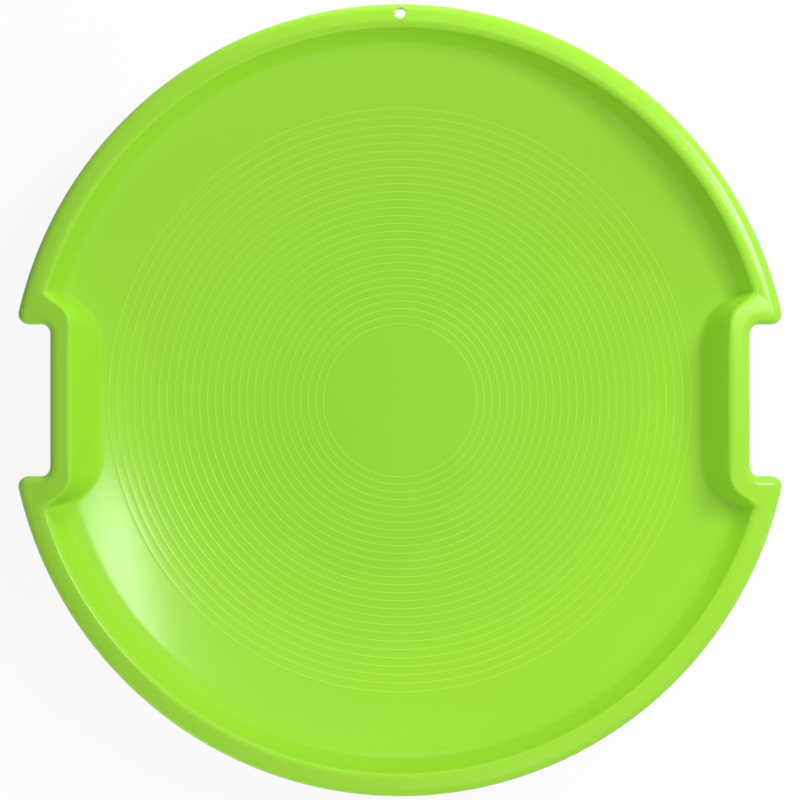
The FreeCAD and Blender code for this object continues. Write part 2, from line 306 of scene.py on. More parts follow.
    def rounded_crest(self, depth: np.ndarray, radius: float) -> np.ndarray:
        """Drop below the rim across a crest rounded by an arc.

        The arc starts at radius times tan(half the wall's angle) before the sharp edge and
        falls as radius minus the root of radius squared less distance squared; beyond its
        end the wall is as it was.

        Args:
            depth: Depth of the sharp-edged wall, negative on the rim.
            radius: Radius of the rounded edge.

        Returns:
            Drop below the level of the rim.
        """
        lead = radius * tan(self.wall_angle / 2.0)
        run = depth / tan(self.wall_angle) + lead
        arc = radius - np.sqrt(np.maximum(radius**2 - np.clip(run, 0.0, radius) ** 2, 0.0))
        return np.where(run < lead * (1.0 + cos(self.wall_angle)), arc, depth)

    def height(self, x: np.ndarray, y: np.ndarray, face: Face) -> np.ndarray:
        """Height of one face of the skin over the plan.

        Args:
            x: Plan coordinates across the dish.
            y: Plan coordinates towards the tow hole.
            face: Which face of the skin.

        Returns:
            Heights of that face, rim and dish alike.
        """
        offset = self.skin if face is Face.UNDER else 0.0
        crest = self.under_crest_radius if face is Face.UNDER else self.crest_radius
        depth = self.depth(x, y, offset)
        return self.overall_height - offset - self.rounded_crest(depth - offset, crest)

    def crest_gap(self, points: np.ndarray) -> np.ndarray:
        """Depth of the walls, zero along the crest."""
        return self.depth(points[:, 0], points[:, 1], 0.0)

    def horn_corner(self) -> np.ndarray:
        """Plan point where the crests of round wall and flared grip wall meet.

        Returns:
            The point in the quarter with positive x and y, where the crest's circle meets
            the flared end's line.
        """
        grip = self.grip
        start = self.turn_centre + grip.turn_radius * grip.flare_normal
        half = float(start @ grip.flare_way)
        step = -half + sqrt(half**2 - float(start @ start) + self.crest_circle**2)
        return start + step * grip.flare_way

    def drawn_in(self, points: np.ndarray) -> np.ndarray:
        """Draws the rim in towards the axis beside the grips, where the notches soften it.

        The pull grows smoothly with the distance from the axis and, round the axis, as
        (1 + cos of twice the angle) / 2, so it is greatest at the grips.

        Args:
            points: Points of the skin, plan coordinates first.

        Returns:
            The points moved towards the axis.
        """
        radius = np.maximum(np.hypot(points[..., 0], points[..., 1]), TINY)
        grown = eased((radius - self.draw_start) / (self.draw_end - self.draw_start))
        pull = self.draw_in * grown * (points[..., 0] / radius) ** 2
        moved = points.copy()
        moved[..., :2] *= (1.0 - pull / radius)[..., None]
        return moved


def settled(points: np.ndarray, gap: Callable[[np.ndarray], np.ndarray], rounds: int = 12) -> np.ndarray:
    """Moves plan points onto the curve where a function is zero, by Newton steps along its slope.

    Args:
        points: Plan points near the curve.
        gap: Function of plan points that is zero on the curve.
        rounds: Number of steps.

    Returns:
        Plan points on the curve.
    """
    nudge = 1e-6
    for _ in range(rounds):
        here = gap(points)
        slope_x = (gap(points + [nudge, 0.0]) - here) / nudge
        slope_y = (gap(points + [0.0, nudge]) - here) / nudge
        steep = slope_x**2 + slope_y**2
        points = points - (here / steep)[:, None] * np.stack([slope_x, slope_y], axis=1)
    return points


@dataclass(frozen=True)
class PlanLines:
    """Plan curves of the sled, all divided into the same columns round the axis."""

    edge: np.ndarray
    inward: np.ndarray
    crest: np.ndarray


@dataclass(frozen=True)
class RimOutline:
    """Outline of the rim with its two grip notches, drawn as a quarter and mirrored."""

    form: DishForm
    common_angle: float = radians(34.0)
    hole_column: float = radians(0.46)
    hole_columns: int = 3
    long_columns: int = 27
    horn_columns: int = 18
    tip_columns: int = 8
    side_columns: int = 5
    corner_columns: int = 10
    chord_columns: int = 12
    corner_run: float = 0.004
    column_growth: float = 1.5
    widest_column: float = 5.2
    horn_taper: float = 6.0

    def long_shares(self) -> np.ndarray:
        """Shares along the long arc: narrow even columns at the tow hole, then widening ones.

        Returns:
            Shares from 0 up to but not including 1.
        """
        even = np.full(self.hole_columns, self.hole_column)
        rest = self.long_columns - self.hole_columns
        grown = np.minimum(self.column_growth ** np.arange(1, rest + 1), self.widest_column)
        span = radians(90.0) - self.common_angle - even.sum()
        return ramp(np.concatenate([even, grown / grown.sum() * span]))

    def horn_shares(self) -> np.ndarray:
        """Shares along the arc that leads to the horn, with columns that narrow towards it."""
        return ramp(np.linspace(self.horn_taper, 1.0, self.horn_columns))

    def arc_angles(self, end: float) -> np.ndarray:
        """Angles from the tow hole round to an end angle by the horn.

        Args:
            end: Angle of the last point, in radians from the X axis.

        Returns:
            Angles, the end itself left out.
        """
        start = radians(90.0) + (self.common_angle - radians(90.0)) * self.long_shares()
        horn = self.common_angle + (end - self.common_angle) * self.horn_shares()
        return np.concatenate([start, horn])

    def chord_shares(self) -> np.ndarray:
        """Shares of the half chord still ahead, from 1 at its end to 0 on the X axis."""
        return 1.0 - np.append(ramp(np.ones(self.chord_columns)), 1.0)

    def quarter_edge(self) -> tuple[np.ndarray, np.ndarray]:
        """Outer edge of a quarter with its inward normals.

        The edge runs along the rim's circle, round the horn's tip, along the notch's side,
        round its inner corner and along half of its straight edge.

        Returns:
            Plan points and unit normals that point into the plastic.
        """
        grip, rim = self.form.grip, self.form.rim_radius
        tip_y = grip.half_opening + grip.tip_radius
        tip = (sqrt((rim - grip.tip_radius) ** 2 - tip_y**2), tip_y)
        join = float(np.arctan2(tip[1], tip[0]))
        round_angle = self.arc_angles(join)
        tip_angle = join + (radians(-90.0) - join) * ramp(np.ones(self.tip_columns))
        side_x = tip[0] + (grip.corner[0] - tip[0]) * ramp(np.ones(self.side_columns))
        turn = radians(90.0) * (1.0 + ramp(np.ones(self.corner_columns)))
        chord_y = grip.corner[1] * self.chord_shares()
        points = np.concatenate(
            [
                ray((0.0, 0.0), round_angle, rim),
                ray(tip, tip_angle, grip.tip_radius),
                np.stack([side_x, np.full_like(side_x, grip.half_opening)], axis=1),
                ray(grip.corner, turn, grip.inner_radius),
                np.stack([np.full_like(chord_y, grip.chord), chord_y], axis=1),
            ]
        )
        normals = np.concatenate(
            [
                ray((0.0, 0.0), round_angle, -1.0),
                ray((0.0, 0.0), tip_angle, -1.0),
                np.tile([0.0, 1.0], (self.side_columns, 1)),
                ray((0.0, 0.0), turn, 1.0),
                np.tile([-1.0, 0.0], (len(chord_y), 1)),
            ]
        )
        return points, normals

    def quarter_crest(self) -> np.ndarray:
        """Crest of the walls of a quarter, in the columns of the outer edge.

        The curve follows the round wall's circle to the corner at the horn, then the flared
        end, the turn and the straight part of the grip's wall, and is settled on the
        blended form.

        Returns:
            Plan points of the crest.
        """
        form, grip = self.form, self.form.grip
        corner = form.horn_corner()
        corner_angle = float(np.arctan2(corner[1], corner[0]))
        near = corner_angle + self.corner_run / form.crest_circle
        tip_angle = near + (corner_angle - near) * ramp(np.ones(self.tip_columns))
        round_angle = np.concatenate([self.arc_angles(near), tip_angle])
        bend = form.turn_centre + grip.turn_radius * grip.flare_normal
        flare = float(np.hypot(*(corner - bend)))
        whole = flare + (radians(90.0) - grip.flare_angle) * grip.turn_radius
        past = self.corner_run * ramp(np.ones(self.side_columns))
        around = self.corner_run + (whole - self.corner_run) * ramp(np.ones(self.corner_columns))
        travel = np.concatenate([past, around])
        straight = corner[None] - travel[:, None] * grip.flare_way[None]
        angle = radians(90.0) + grip.flare_angle + (travel - flare) / grip.turn_radius
        bent = ray(tuple(form.turn_centre), angle, grip.turn_radius)
        chord_y = grip.wall_half * self.chord_shares()
        points = np.concatenate(
            [
                ray((0.0, 0.0), round_angle, form.crest_circle),
                np.where((travel < flare)[:, None], straight, bent),
                np.stack([np.full_like(chord_y, grip.chord - form.rim_width), chord_y], axis=1),
            ]
        )
        return settled(points, form.crest_gap)

    @staticmethod
    def mirrored(quarter: np.ndarray) -> np.ndarray:
        """Whole loop from a quarter, clockwise from the tow hole: mirrored, turned, mirrored.

        Args:
            quarter: Points from the Y axis to the X axis, both ends included.

        Returns:
            Points of the closed loop, none repeated.
        """
        back = quarter[:0:-1]
        ahead = quarter[:-1]
        return np.concatenate([ahead, back * [1.0, -1.0], -ahead, back * [-1.0, 1.0]])

    def lines(self) -> PlanLines:
        """Works out all plan curves of the sled.

        Returns:
            Edge, inward directions and crest, all round the sled.
        """
        edge, inward = self.quarter_edge()
        return PlanLines(
            edge=self.mirrored(edge),
            inward=self.mirrored(inward),
            crest=self.mirrored(self.quarter_crest()),
        )


@dataclass(frozen=True)
class FloorRings:
    """Raised rings on the floor: arcs of a small bead, sunk until only the top stands proud."""

    first: float = 0.0685
    last: float = 0.2522
    count: int = 28
    section_radius: float = 0.0012
    proud: float = 0.0001
    across: tuple[float, ...] = (-0.00065, -0.00045, -0.0002, 0.0002, 0.00045, 0.00065)

    def radii(self) -> np.ndarray:
        """Plan radius of each ring."""
        return np.linspace(self.first, self.last, self.count)

    def stations(self) -> np.ndarray:
        """Plan radii of the grid lines over all rings, several across each."""
        return (self.radii()[:, None] + np.array(self.across)[None]).ravel()

    def lift(self, radius: np.ndarray) -> np.ndarray:
        """Height of the nearest ring's bead: root of its radius squared less distance squared.

        Args:
            radius: Plan distance from the axis.

        Returns:
            Height above the floor, zero between the rings.
        """
        pitch = (self.last - self.first) / (self.count - 1)
        nearest = np.clip(np.round((radius - self.first) / pitch), 0, self.count - 1)
        aside = radius - self.first - nearest * pitch
        bead = np.sqrt(np.maximum(self.section_radius**2 - aside**2, 0.0))
        return np.maximum(bead - self.section_radius + self.proud, 0.0)


@dataclass(frozen=True)
class RimEdge:
    """Turned-down edge of the rim: rounded shoulder, short lip and its rounded end."""

    form: DishForm
    roll_width: float = 0.0083
    roll_drop: float = 0.0068
    lip_height: float = 0.012
    end_radius: float = 0.001
    roll_points: int = 11
    end_points: int = 5
    climb_points: int = 8

    def upper_drop(self, inset: np.ndarray) -> np.ndarray:
        """Drop of the roll at a distance inside the edge: a quarter ellipse."""
        share = np.clip(1.0 - inset / self.roll_width, 0.0, 1.0)
        return self.roll_drop * (1.0 - np.sqrt(1.0 - share**2))

    def under_drop(self, inset: np.ndarray) -> np.ndarray:
        """Drop of the roll's inner face below the underside of the rim: a smaller ellipse.

        Args:
            inset: Distance inside the edge.

        Returns:
            Drops, zero further in than the roll.
        """
        skin = self.form.skin
        share = np.clip((self.roll_width - inset) / (self.roll_width - skin), 0.0, 1.0)
        return (self.roll_drop - skin) * (1.0 - np.sqrt(1.0 - share**2))

    def profile(self) -> np.ndarray:
        """Section of the edge as (inset, drop) pairs, from the flat rim round to the underside.

        The roll is a quarter ellipse, the lip hangs straight down, its end is two small
        quarter circles, and the inner face climbs to a quarter ellipse under the roll.

        Returns:
            Pairs of distance inside the edge and drop below the rim's top.
        """
        wide, deep, end, skin = self.roll_width, self.roll_drop, self.end_radius, self.form.skin
        turn = np.linspace(0.0, pi / 2.0, self.roll_points)[1:]
        roll = np.stack([wide * (1.0 - np.sin(turn)), deep * (1.0 - np.cos(turn))], axis=1)
        bend = np.linspace(0.0, pi / 2.0, self.end_points)
        low = self.lip_height - end
        out_end = np.stack([end * (1.0 - np.cos(bend)), low + end * np.sin(bend)], axis=1)
        in_end = np.stack([skin - end * (1.0 - np.sin(bend)), low + end * np.cos(bend)], axis=1)
        climb = np.linspace(0.0, pi / 2.0, self.climb_points)
        across, down = wide - (wide - skin) * np.cos(climb), deep - (deep - skin) * np.sin(climb)
        middle = np.array([[0.0, 0.5 * (deep + low)]])
        inside = np.array([[skin, 0.5 * (deep + low)]])
        return np.concatenate([roll, middle, out_end, in_end, inside, np.stack([across, down], axis=1)])


@dataclass(frozen=True)
class TowHole:
    """Plain round hole through the rim, with slightly broken edges."""

    centre: tuple[float, float]
    radius: float
    break_radius: float = 0.0004
    break_middle: float = 0.29
    collar: float = 0.0009
    under_reach: float = 0.0002

    def circle(self, angle: np.ndarray, grow: float) -> np.ndarray:
        """Plan points round the hole at a distance outside its wall."""
        return ray(self.centre, angle, self.radius + grow)

    def broken_edge(self) -> list[tuple[float, float]]:
        """Steps round the broken edge, as distance outside the wall and distance from the face.

        Returns:
            Start, middle and end of a quarter circle.
        """
        size = self.break_radius
        middle = self.break_middle * size
        return [(size, 0.0), (middle, middle), (0.0, size)]


@dataclass(frozen=True)
class LimePlastic:
    """Finish of the moulding: lime polyethylene with a soft gloss."""

    name: str = "lime_plastic"
    deep: Colour = (0.260, 0.620, 0.028)
    bright: Colour = (0.294, 0.678, 0.038)
    outer: Colour = (0.322, 0.676, 0.034)
    # pale green on the crests: partly rubbing, partly a painted highlight
    wear_and_highlight_green: Colour = (0.400, 0.790, 0.070)
    outer_start: float = 0.08
    outer_end: float = 0.26
    outer_share: float = 0.8
    refraction: float = 1.5
    gloss_level: float = 0.3
    smooth: float = 0.15
    dull: float = 0.24
    rubbed_dull: float = 0.55
    flow_scale: float = 7.0
    flow_detail: float = 4.0
    grain_scale: float = 700.0
    grain_detail: float = 3.0
    grain_low: float = 0.3
    grain_high: float = 0.7
    grain_bump: float = 0.012
    grain_depth: float = 0.0004

    def material(self) -> bpy.types.Material:
        """Builds the node material of the moulding.

        The colour flows between two greens, warms with the distance from the middle and pales on the
        crests of the rings and the wall, partly for rubbing and partly as a painted highlight. The gloss
        follows a fine grain and dulls on those crests.

        Returns:
            The material, on Object coordinates and the attribute for rubbing and painted highlight.
        """
        made = bpy.data.materials.new(self.name)
        made.use_nodes = True
        tree = made.node_tree
        shader = tree.nodes["Principled BSDF"]
        shader.inputs["IOR"].default_value = self.refraction
        shader.inputs["Specular IOR Level"].default_value = self.gloss_level
        place = tree.nodes.new("ShaderNodeTexCoord").outputs["Object"]
        # attribute of rubbing and painted highlight on the crests
        wear_and_highlight_share = tree.nodes.new("ShaderNodeAttribute")
        wear_and_highlight_share.attribute_name = WEAR_AND_HIGHLIGHT
        wear_and_highlight = wear_and_highlight_share.outputs["Fac"]
        grain = self.noise(tree, place, self.grain_scale, self.grain_detail)
        tree.links.new(self.colour(tree, place, wear_and_highlight), shader.inputs["Base Color"])
        tree.links.new(self.roughness(tree, grain, wear_and_highlight), shader.inputs["Roughness"])
        bump = tree.nodes.new("ShaderNodeBump")
        bump.inputs["Strength"].default_value = self.grain_bump
        bump.inputs["Distance"].default_value = self.grain_depth
        tree.links.new(grain, bump.inputs["Height"])
        tree.links.new(bump.outputs["Normal"], shader.inputs["Normal"])
        return made

    def colour(
        self, tree: bpy.types.NodeTree, place: bpy.types.NodeSocket, wear_and_highlight: bpy.types.NodeSocket
    ) -> bpy.types.NodeSocket:
        """Adds the colour: a flow of two greens, then the warmer outer green, then the pale crest green,
        partly rubbing and partly a painted highlight.

        Args:
            tree: Node tree of the material.
            place: Object coordinates.
            wear_and_highlight: Share of the pale crest green, partly rubbing and partly a painted
                highlight.

        Returns:
            The colour.
        """
        flow = self.noise(tree, place, self.flow_scale, self.flow_detail)
        tint = self.colour_mix(tree, flow, self.bright)
        tint.inputs["A"].default_value = (*self.deep, 1.0)
        warm = self.colour_mix(tree, self.outward(tree, place), self.outer)
        tree.links.new(tint.outputs["Result"], warm.inputs["A"])
        # pale crest green: partly rubbing, partly a painted highlight
        pale = self.colour_mix(tree, wear_and_highlight, self.wear_and_highlight_green)
        tree.links.new(warm.outputs["Result"], pale.inputs["A"])
        return pale.outputs["Result"]

    def roughness(
        self, tree: bpy.types.NodeTree, grain: bpy.types.NodeSocket, wear_and_highlight: bpy.types.NodeSocket
    ) -> bpy.types.NodeSocket:
        """Adds the roughness: smooth to dull with the grain, and duller on the crests that carry the pale
        green.

        Args:
            tree: Node tree of the material.
            grain: Grey value of the grain.
            wear_and_highlight: Share of the pale crest green, partly rubbing and partly a painted
                highlight.

        Returns:
            The roughness.
        """
        gloss = tree.nodes.new("ShaderNodeMapRange")
        gloss.inputs["From Min"].default_value = self.grain_low
        gloss.inputs["From Max"].default_value = self.grain_high
        gloss.inputs["To Min"].default_value = self.smooth
        gloss.inputs["To Max"].default_value = self.dull
        tree.links.new(grain, gloss.inputs["Value"])
        matt = tree.nodes.new("ShaderNodeMix")
        matt.inputs["B"].default_value = self.rubbed_dull
        tree.links.new(wear_and_highlight, matt.inputs["Factor"])
        tree.links.new(gloss.outputs["Result"], matt.inputs["A"])
        return matt.outputs["Result"]

    def outward(self, tree: bpy.types.NodeTree, place: bpy.types.NodeSocket) -> bpy.types.NodeSocket:
        """Adds the share of the outer colour, which grows smoothly with the distance from the middle.

        Args:
            tree: Node tree of the material.
            place: Object coordinates.

        Returns:
            The share.
        """
        distance = tree.nodes.new("ShaderNodeVectorMath")
        distance.operation = "LENGTH"
        tree.links.new(place, distance.inputs[0])
        share = tree.nodes.new("ShaderNodeMapRange")
        share.interpolation_type = "SMOOTHSTEP"
        share.inputs["From Min"].default_value = self.outer_start
        share.inputs["From Max"].default_value = self.outer_end
        share.inputs["To Max"].default_value = self.outer_share
        tree.links.new(distance.outputs["Value"], share.inputs["Value"])
        return share.outputs["Result"]

    @staticmethod
    def colour_mix(tree: bpy.types.NodeTree, share: bpy.types.NodeSocket, end: Colour) -> bpy.types.Node:
        """Adds a mix towards an end colour; its start colour is left to the caller.

        Args:
            tree: Node tree of the material.
            share: Share of the end colour.
            end: The end colour.

        Returns:
            The mix node.
        """
        mix = tree.nodes.new("ShaderNodeMix")
        mix.data_type = "RGBA"
        mix.inputs["B"].default_value = (*end, 1.0)
        tree.links.new(share, mix.inputs["Factor"])
        return mix

    @staticmethod
    def noise(
        tree: bpy.types.NodeTree, place: bpy.types.NodeSocket, scale: float, detail: float
    ) -> bpy.types.NodeSocket:
        """Adds a noise texture.

        Args:
            tree: Node tree of the material.
            place: Object coordinates.
            scale: Scale of the noise.
            detail: Number of finer layers in it.

        Returns:
            The grey value.
        """
        texture = tree.nodes.new("ShaderNodeTexNoise")
        texture.inputs["Scale"].default_value = scale
        texture.inputs["Detail"].default_value = detail
        tree.links.new(place, texture.inputs["Vector"])
        return texture.outputs["Fac"]


@dataclass(frozen=True)
class SledShell:
    """The moulded shell: one closed skin from the middle of the floor round the rim and back."""

    form: DishForm
    outline: RimOutline
    rings: FloorRings
    edge: RimEdge
    hole: TowHole
    finish: LimePlastic
    ring_margin: float = 0.00265
    wall_layers: int = 26
    # paleness of the rings' crests: partly rubbing, partly a painted highlight along the beads
    ring_wear_and_highlight: float = 0.85
    # paleness along the wall's crest: partly rubbing, partly a painted highlight
    crest_wear_and_highlight: float = 0.3
    crest_wear_and_highlight_depth: float = 0.0016
    middle_radii: tuple[float, ...] = (0.008, 0.022, 0.038, 0.052, 0.062, 0.0665)
    wall_share: float = 0.86
    below_crest: tuple[float, ...] = (0.0022, 0.0016, 0.0011, 0.0007, 0.0003)
    above_crest: tuple[float, ...] = (0.0001, 0.0007, 0.0014, 0.0023, 0.0033, 0.0043)
    rim_shares: tuple[float, ...] = (0.55, 0.78, 1.0)
    under_rim_shares: tuple[float, ...] = (0.15, 0.3, 0.45)
    under_crest: tuple[float, ...] = (0.0033, 0.0028, 0.0024, 0.0020, 0.0016, 0.0011)
    under_floor_radius: float = 0.2548
    under_floor_layers: int = 15
    under_middle_radii: tuple[float, ...] = (0.04, 0.012)
    hole_inner_layers: int = 4
    hole_outer_layers: int = 4
    hole_under_layers: int = 3

    def upper_plan(self, lines: PlanLines) -> np.ndarray:
        """Plan points of the upper face from the inmost circle out to the rim's shoulder.

        Args:
            lines: Plan curves of the sled.

        Returns:
            Layers of plan points, closest at the rings, the heel and the crest.
        """
        last = self.rings.last + self.ring_margin
        radii = np.concatenate([self.middle_radii, self.rings.stations(), [last]])
        circles = self.circles(lines, radii)
        roll = lines.edge + self.edge.roll_width * lines.inward
        return np.concatenate(
            [
                circles,
                between(circles[-1], lines.crest, np.linspace(0.0, self.wall_share, self.wall_layers)[1:]),
                stepped(lines.crest, circles[-1], self.below_crest),
                stepped(lines.crest, roll, self.above_crest),
                between(lines.crest, roll, self.rim_shares),
            ]
        )

    def under_plan(self, lines: PlanLines) -> np.ndarray:
        """Plan points of the underside from inside the roll in to the inmost circle.

        Args:
            lines: Plan curves of the sled.

        Returns:
            Layers of plan points.
        """
        floor = np.linspace(self.under_floor_radius, self.form.flat_radius, self.under_floor_layers)
        circles = self.circles(lines, np.concatenate([floor, self.under_middle_radii]))
        roll = lines.edge + self.edge.roll_width * lines.inward
        return np.concatenate(
            [
                between(roll, lines.crest, self.under_rim_shares),
                stepped(lines.crest, roll, self.under_crest),
                between(lines.crest, circles[0], np.linspace(0.0, 1.0, self.wall_layers // 2)[:-1]),
                circles,
            ]
        )

    @staticmethod
    def circles(lines: PlanLines, radii: np.ndarray) -> np.ndarray:
        """Circles about the axis with a point on every column, at the polar angle of the crest."""
        way = lines.crest / np.linalg.norm(lines.crest, axis=1, keepdims=True)
        return radii[:, None, None] * way[None]

    def surface(self, lines: PlanLines) -> tuple[np.ndarray, int, int]:
        """Grid of the whole skin: upper face, edge section carried round the outline, underside.

        Args:
            lines: Plan curves of the sled.

        Returns:
            Points with one layer per grid line, and the layers at which the edge section
            and the underside begin.
        """
        upper = self.upper_plan(lines)
        x, y = upper[..., 0], upper[..., 1]
        upper_z = self.form.height(x, y, Face.UPPER) + self.rings.lift(np.hypot(x, y))
        section = self.edge.profile()
        band = lines.edge[None] + section[:, 0, None, None] * lines.inward[None]
        band_z = np.broadcast_to(self.form.overall_height - section[:, 1, None], band.shape[:2])
        under = self.under_plan(lines)
        under_z = self.form.height(under[..., 0], under[..., 1], Face.UNDER)
        plan = np.concatenate([upper, band, under])
        heights = np.concatenate([upper_z, band_z, under_z])
        points = self.form.drawn_in(np.concatenate([plan, heights[..., None]], axis=2))
        return points, len(upper), len(upper) + len(band)

    def wear_and_highlight_share(self, plan: np.ndarray) -> np.ndarray:
        """Share of the pale crest green on the upper face, partly rubbing and partly a painted highlight:
        on the rings' crests and along the wall's crest.

        On a ring it follows the bead's height; along the wall's crest it fades as a bell
        curve of the depth.

        Args:
            plan: Plan points of the upper face.

        Returns:
            Shares from 0 to 1.
        """
        x, y = plan[..., 0], plan[..., 1]
        # painted highlight along each bead's crest, together with its rubbing
        ring = self.ring_wear_and_highlight * self.rings.lift(np.hypot(x, y)) / self.rings.proud
        # painted highlight along the wall's crest, together with its rubbing
        crest = np.exp(-((self.form.depth(x, y, 0.0) / self.crest_wear_and_highlight_depth) ** 2))
        return np.maximum(ring, self.crest_wear_and_highlight * crest)

    def hole_height(self, plan: np.ndarray, face: Face) -> np.ndarray:
        """Height of the rim's faces round the tow hole, shoulder included.

        Args:
            plan: Plan points near the hole.
            face: Which face of the rim.

        Returns:
            Heights at those points.
        """
        inset = self.form.rim_radius - np.hypot(plan[:, 0], plan[:, 1])
        if face is Face.UPPER:
            return self.form.overall_height - self.edge.upper_drop(inset)
        return self.form.overall_height - self.form.skin - self.edge.under_drop(inset)

    @staticmethod
    def block_loop(first: int, last: int, reach: int, columns: int) -> np.ndarray:
        """Vertex numbers round a block of the grid that straddles the first column.

        Args:
            first: Layer of the block on the side of the axis.
            last: Layer of the block on the side of the edge.
            reach: Columns on each side.
            columns: Columns in a layer.

        Returns:
            Vertex numbers in order, each once.
        """
        aside = np.arange(-reach, reach)
        down = np.arange(first, last, 1 if last > first else -1)
        near, far = np.full(2 * reach, first), np.full(2 * reach, last)
        right, left = np.full(len(down), reach), np.full(len(down), -reach)
        layer = np.concatenate([near, down, far, last + first - down])
        column = np.concatenate([aside, right, -aside, left])
        return layer * columns + column % columns

    @staticmethod
    def grid_quads(layers: int, columns: int) -> np.ndarray:
        """Vertex numbers of the quads between neighbouring layers, closed round the axis.

        Args:
            layers: Layers of the grid.
            columns: Columns in a layer.

        Returns:
            Four numbers for each quad, by layer and column.
        """
        start = np.arange(layers - 1)[:, None] * columns
        corner = start + np.arange(columns)[None]
        beside = start + (np.arange(columns)[None] + 1) % columns
        return np.stack([corner, beside, beside + columns, corner + columns], axis=2)

    @staticmethod
    def pole_fans(layers: int, columns: int, pole: int) -> np.ndarray:
        """Triangles that close the middle of the upper face and of the underside.

        Args:
            layers: Layers of the grid.
            columns: Columns in a layer.
            pole: Vertex number of the upper pole, one before the lower pole's.

        Returns:
            Three vertex numbers for each triangle.
        """
        ring = np.arange(columns)
        after = (ring + 1) % columns
        low = (layers - 1) * columns
        top = np.stack([np.full(columns, pole), after, ring], axis=1)
        bottom = np.stack([low + ring, low + after, np.full(columns, pole + 1)], axis=1)
        return np.concatenate([top, bottom])

    def mesh(self) -> bpy.types.Mesh:
        """Closed mesh of the shell: the grid, its two poles and the tow hole.

        Returns:
            The mesh, faces outwards.
        """
        lines = self.outline.lines()
        grid, band_start, under_start = self.surface(lines)
        layers, columns = grid.shape[:2]
        points = grid.reshape(-1, 3)
        reach = self.outline.hole_columns
        upper_first = band_start - self.hole_inner_layers
        upper_last = band_start + self.hole_outer_layers
        under_last = under_start + self.hole_under_layers
        under_first = under_last - (upper_last - upper_first)
        keep = np.ones((layers - 1, columns), dtype=bool)
        straddle = np.arange(-reach, reach) % columns
        keep[upper_first:upper_last, straddle] = False
        keep[under_first:under_last, straddle] = False
        upper_loop = self.block_loop(upper_first, upper_last, reach, columns)
        under_loop = self.block_loop(under_last, under_first, reach, columns)
        wall, wall_faces = self.hole_wall(points, upper_loop, under_loop)
        poles = np.array([[0.0, 0.0, self.form.skin], [0.0, 0.0, 0.0]])
        pole = len(points) + len(wall)
        fans = self.pole_fans(layers, columns, pole)
        quads = self.grid_quads(layers, columns)[keep]
        mesh = bpy.data.meshes.new("saucer_skin")
        mesh.from_pydata(
            np.concatenate([points, wall, poles]), [], quads.tolist() + wall_faces.tolist() + fans.tolist()
        )
        # attribute of rubbing and painted highlight on the crests
        wear_and_highlight = np.zeros(pole + len(poles), dtype=np.float32)
        upper = self.wear_and_highlight_share(self.upper_plan(lines))
        wear_and_highlight[: upper.size] = upper.ravel()
        mesh.attributes.new(WEAR_AND_HIGHLIGHT, "FLOAT", "POINT").data.foreach_set("value", wear_and_highlight)
        mesh.shade_smooth()
        mesh.validate()
        return mesh

    def hole_wall(
        self, points: np.ndarray, upper: np.ndarray, under: np.ndarray
    ) -> tuple[np.ndarray, np.ndarray]:
        """Rings of points from the upper face through the tow hole to the underside.

        Each ring is a circle about the hole, level with the face near it, and drops by the
        broken edge's quarter circle at the hole's wall.

        Args:
            points: Points of the grid.
            upper: Loop of vertices left round the hole in the upper face.
            under: Loop of vertices left round the hole in the underside.

        Returns:
            New points, and the quads that join the loops through them.
        """
        hole = self.hole
        around = points[upper, :2] - np.array(hole.centre)
        angle = np.arctan2(around[:, 1], around[:, 0])
        layers = []
        for grow, drop in [(hole.collar, 0.0), *hole.broken_edge()]:
            plan = hole.circle(angle, grow)
            layers.append(np.column_stack([plan, self.hole_height(plan, Face.UPPER) - drop]))
        for grow, rise in reversed(hole.broken_edge()):
            plan = hole.circle(angle, min(grow, hole.under_reach))
            layers.append(np.column_stack([plan, self.hole_height(plan, Face.UNDER) + rise]))
        span = len(upper)
        number = len(points) + np.arange(len(layers) * span).reshape(len(layers), span)
        rows = np.concatenate([upper[None], number, under[None]])
        near, far = rows[:-1], rows[1:]
        quads = np.stack([near, np.roll(near, -1, axis=1), np.roll(far, -1, axis=1), far], axis=2)
        return np.concatenate(layers), quads.reshape(-1, 4)

    def build(self) -> bpy.types.Object:
        """Makes the shell, dresses it and sets it in the frame.

        Returns:
            The shell's object.
        """
        shell = bpy.data.objects.new("sled_shell", self.mesh())
        bpy.context.scene.collection.objects.link(shell)
        shell.data.materials.append(self.finish.material())
        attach(shell, "root")
        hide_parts("saucer_shell")
        return shell


@dataclass(frozen=True)
class SoftLamp:
    """An oblong soft lamp, placed round the sled and aimed at a point on it."""

    name: str
    azimuth: float
    elevation: float
    distance: float
    width: float
    height: float
    watts: float
    mirrored: bool = False
    roll: float = 0.0
    aim: tuple[float, float, float] = (0.0, 0.0, 0.04)

    def build(self) -> bpy.types.Object:
        """Makes the lamp.

        Returns:
            The lamp's object.
        """
        data = bpy.data.lights.new(self.name, "AREA")
        data.shape = "RECTANGLE"
        data.size = self.width
        data.size_y = self.height
        data.energy = self.watts
        lamp = bpy.data.objects.new(self.name, data)
        bpy.context.scene.collection.objects.link(lamp)
        turn, rise = radians(self.azimuth), radians(self.elevation)
        way = Vector((cos(turn) * cos(rise), sin(turn) * cos(rise), sin(rise)))
        lamp.location = Vector(self.aim) + self.distance * way
        lamp.visible_glossy = self.mirrored
        lamp.rotation_mode = "QUATERNION"
        own_turn = Quaternion((0.0, 0.0, 1.0), radians(self.roll))
        lamp.rotation_quaternion = way.to_track_quat("Z", "Y") @ own_turn
        return lamp


